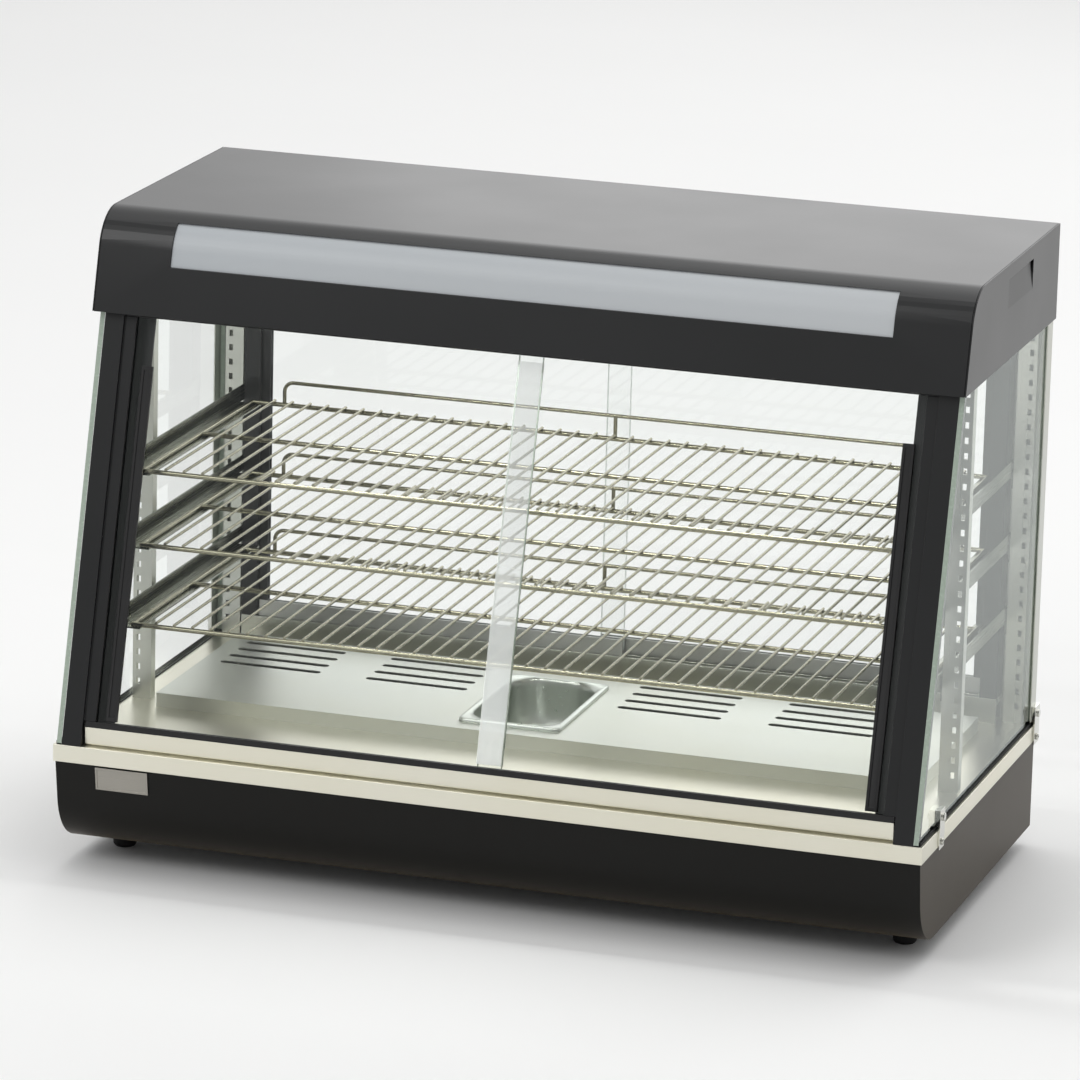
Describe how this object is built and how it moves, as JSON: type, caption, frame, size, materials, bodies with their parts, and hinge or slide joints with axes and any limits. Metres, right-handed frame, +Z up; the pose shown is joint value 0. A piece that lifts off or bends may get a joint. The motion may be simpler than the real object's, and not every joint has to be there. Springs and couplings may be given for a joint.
{
  "type": "hot food display case",
  "caption": "Countertop heated display case with leaning sliding front doors, glass sides, sliding rear doors, wire shelves, lit hood and water pan.",
  "frame": {"origin": "on the counter under the middle of the overall footprint, with the rear knob counted", "axes": "+X to the customer's right, +Y to the rear, +Z up"},
  "size_m": [0.909, 0.48, 0.6535],
  "materials": {
    "black_paint": "satin powder coat",
    "stainless": "brushed",
    "black_trim": "matte",
    "clear_glass": "clear, green at the edges",
    "rubber": "matte",
    "zinc_screw": "bright zinc",
    "chrome": "polished",
    "chrome_wire": "bright wire",
    "dark_steel": "satin",
    "element_sheath": "heat-toned satin",
    "aluminium_profile": "anodised",
    "opal_diffuser": "opal",
    "lamp_white": "gloss",
    "white_paint": "satin",
    "cream_plastic": "matte",
    "green_rocker": "gloss",
    "black_rocker": "gloss",
    "amber_lens": "gloss"
  },
  "bodies": {
    "case": {"base_housing": "black_paint", "base_bottom_plate": "black_paint", "base_back_panel": "black_paint", "rubber_feet": "rubber", "foot_screws": "zinc_screw", "deck": "stainless", "heater_well": "stainless", "heater_cover": "stainless", "heating_elements": "element_sheath", "element_brackets": "stainless", "name_plate": "chrome", "front_post_left": "black_paint", "front_post_right": "black_paint", "front_door_rail": "stainless", "front_lower_track": "black_trim", "front_upper_track": "black_trim", "side_glass_left": "clear_glass", "side_glass_right": "clear_glass", "side_gaskets": "rubber", "glass_clips": "chrome", "rear_post_left": "stainless", "rear_post_right": "stainless", "rear_jambs": "black_trim", "rear_door_rail": "stainless", "rear_upper_track": "black_trim", "front_standards": "stainless", "rear_standards": "stainless", "rails_top": "stainless", "rails_middle": "stainless", "rails_bottom": "stainless", "shelf_clips": "dark_steel", "hood_shell": "black_paint", "hood_end_cap_left": "black_paint", "hood_end_cap_right": "black_paint", "hood_back_panel": "black_paint", "ceiling_panel": "stainless", "light_diffuser": "opal_diffuser", "lamp_tube": "lamp_white", "lamp_holders": "lamp_white", "lamp_reflector": "white_paint", "thermostat_body": "cream_plastic", "switch_housings": "black_trim", "pilot_lamps": "amber_lens", "cable_gland": "black_trim", "pan_head_screws": "zinc_screw"},
    "front_door_left": {"front_glass_left": "clear_glass", "front_pull_left": "black_trim"},
    "front_door_right": {"front_glass_right": "clear_glass", "front_pull_right": "black_trim"},
    "rear_door_left": {"rear_glass_left": "clear_glass", "rear_frame_left": "aluminium_profile"},
    "rear_door_right": {"rear_glass_right": "clear_glass", "rear_frame_right": "aluminium_profile"},
    "top_shelf": {"shelf_top": "chrome_wire"},
    "middle_shelf": {"shelf_middle": "chrome_wire"},
    "bottom_shelf": {"shelf_bottom": "chrome_wire"},
    "pan": {"water_pan": "stainless"},
    "knob": {"thermostat_knob": "black_trim"},
    "power_switch": {"power_rocker": "green_rocker"},
    "light_switch": {"light_rocker": "black_rocker"}
  },
  "joints": [
    {"name": "front_door_left_slide", "type": "slide", "parent": "case", "child": "front_door_left", "axis": [1, 0, 0], "range_m": [0, 0.385]},
    {"name": "front_door_right_slide", "type": "slide", "parent": "case", "child": "front_door_right", "axis": [-1, 0, 0], "range_m": [0, 0.385]},
    {"name": "rear_door_left_slide", "type": "slide", "parent": "case", "child": "rear_door_left", "axis": [1, 0, 0], "range_m": [0, 0.36]},
    {"name": "rear_door_right_slide", "type": "slide", "parent": "case", "child": "rear_door_right", "axis": [-1, 0, 0], "range_m": [0, 0.36]},
    {"name": "top_shelf_lift", "type": "slide", "parent": "case", "child": "top_shelf", "axis": [0, 0, 1], "range_m": [0, 0.025]},
    {"name": "middle_shelf_lift", "type": "slide", "parent": "case", "child": "middle_shelf", "axis": [0, 0, 1], "range_m": [0, 0.04]},
    {"name": "bottom_shelf_lift", "type": "slide", "parent": "case", "child": "bottom_shelf", "axis": [0, 0, 1], "range_m": [0, 0.04]},
    {"name": "water_pan_lift", "type": "slide", "parent": "case", "child": "pan", "axis": [0, 0, 1], "range_m": [0, 0.07]},
    {"name": "thermostat_turn", "type": "hinge", "parent": "case", "child": "knob", "pos_m": [0.25, 0.231, 0.07], "axis": [0, -1, 0], "range_deg": [0, 270]},
    {"name": "power_rocker_tilt", "type": "hinge", "parent": "case", "child": "power_switch", "pos_m": [0.15, 0.2172, 0.07], "axis": [1, 0, 0], "range_deg": [0, 18]},
    {"name": "light_rocker_tilt", "type": "hinge", "parent": "case", "child": "light_switch", "pos_m": [0.115, 0.2172, 0.07], "axis": [1, 0, 0], "range_deg": [0, 18]}
  ]
}
